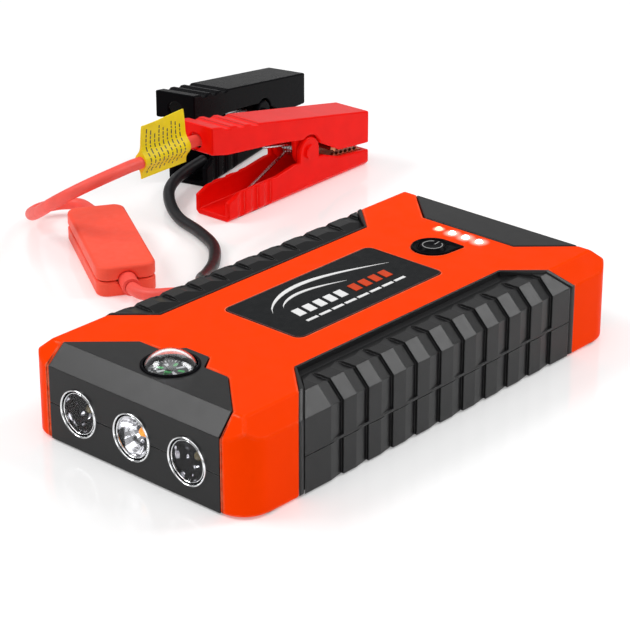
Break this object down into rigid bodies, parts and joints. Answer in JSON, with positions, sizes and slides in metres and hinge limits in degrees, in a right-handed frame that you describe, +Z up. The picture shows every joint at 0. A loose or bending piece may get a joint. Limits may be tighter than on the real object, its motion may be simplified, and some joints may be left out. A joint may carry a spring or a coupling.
{
  "type": "jump starter pack",
  "caption": "Flat car jump starter pack with ribbed grips, lamps, compass, power button and port door, and a plugged-in pair of spring battery clamps with an in-line box.",
  "frame": {"origin": "middle of the pack body on the surface that its feet stand on", "axes": "+X along the body from the lamps to the port door, +Y towards the side with the jump socket, +Z up"},
  "size_m": [0.2496, 0.2201, 0.044],
  "materials": {
    "orange_plastic": "satin",
    "black_plastic": "satin",
    "case_plastic": "matte",
    "black_rubber": "matte",
    "plate_plastic": "gloss",
    "white_print": "matte",
    "light_plastic": "gloss",
    "chrome": "polished",
    "clear_glass": "clear",
    "led_yellow": "gloss",
    "circuit_board": "satin",
    "cell_foil": "satin",
    "steel": "satin",
    "brass_gold": "polished",
    "copper": "satin",
    "dial": "matte",
    "blue_plastic": "satin",
    "red_plastic": "satin",
    "coral_plastic": "satin",
    "red_sleeve": "satin",
    "black_sleeve": "satin",
    "clamp_black": "satin",
    "yellow_tag": "satin"
  },
  "bodies": {
    "pack": {"cover_shell": "orange_plastic", "upper_case": "case_plastic", "lower_case": "case_plastic", "bottom_plate": "black_plastic", "feet": "black_rubber", "case_screws": "steel", "front_bezel_upper": "black_plastic", "front_bezel_lower": "black_plastic", "rear_bezel_upper": "black_plastic", "rear_bezel_lower": "black_plastic", "socket_grip_upper": "black_rubber", "socket_grip_lower": "black_rubber", "plain_grip_upper": "black_rubber", "plain_grip_lower": "black_rubber", "name_plate": "plate_plastic", "emblem_inlay": "white_print", "button_bezel": "black_plastic", "light_pipe": "light_plastic", "lamp_bezels": "chrome", "lamp_reflectors": "chrome", "lamp_lenses": "clear_glass", "lamp_leds": "led_yellow", "lamp_board": "circuit_board", "compass_bowl": "black_plastic", "compass_pivot": "brass_gold", "compass_dome": "clear_glass", "battery_cells": "cell_foil", "battery_leads": "red_sleeve", "main_board": "circuit_board", "tact_switch": "steel", "indicator_leds": "light_plastic", "port_panel": "black_plastic", "usb_sockets": "steel", "dc_jacks": "black_plastic", "door_hinge_pin": "steel", "jump_socket": "blue_plastic", "socket_contacts": "brass_gold", "jump_plug": "blue_plastic", "red_lead_short": "red_sleeve", "box_base": "coral_plastic", "box_lid": "coral_plastic", "box_strain_reliefs": "red_sleeve", "red_lead": "red_sleeve", "black_lead": "black_sleeve", "red_lower_arm": "red_plastic", "red_clamp_pin": "red_plastic", "red_clamp_spring": "steel", "red_lower_jaw": "copper", "black_lower_arm": "clamp_black", "black_clamp_pin": "clamp_black", "black_clamp_spring": "steel", "black_lower_jaw": "copper"},
    "power_button": {"power_button": "black_plastic"},
    "compass_card": {"compass_card": "dial"},
    "port_door": {"port_door": "black_rubber"},
    "red_upper_arm": {"red_upper_arm": "red_plastic", "red_upper_jaw": "copper", "lead_tag": "yellow_tag"},
    "black_upper_arm": {"black_upper_arm": "clamp_black", "black_upper_jaw": "copper"}
  },
  "joints": [
    {"name": "power_button_press", "type": "slide", "parent": "pack", "child": "power_button", "axis": [0, 0, -1], "range_m": [0, 0.0008], "stiffness_N_per_m": 300, "springref_m": -0.001},
    {"name": "compass_card_turn", "type": "hinge", "parent": "pack", "child": "compass_card", "pos_m": [-0.068, 0, 0.027], "axis": [0, 0, 1], "continuous": true},
    {"name": "port_door_hinge", "type": "hinge", "parent": "pack", "child": "port_door", "pos_m": [0.0821, 0, 0.0059], "axis": [0, 1, 0], "range_deg": [0, 95]},
    {"name": "red_clamp_open", "type": "hinge", "parent": "pack", "child": "red_upper_arm", "pos_m": [0.11397, 0.12054, 0.0145], "axis": [0.0349, -0.9994, 0], "range_deg": [0, 17], "stiffness_Nm_per_rad": 0.4, "springref_deg": -28.65},
    {"name": "black_clamp_open", "type": "hinge", "parent": "pack", "child": "black_upper_arm", "pos_m": [0.1305, 0.16039, 0.0145], "axis": [0.2588, -0.9659, 0], "range_deg": [0, 17], "stiffness_Nm_per_rad": 0.4, "springref_deg": -28.65}
  ]
}
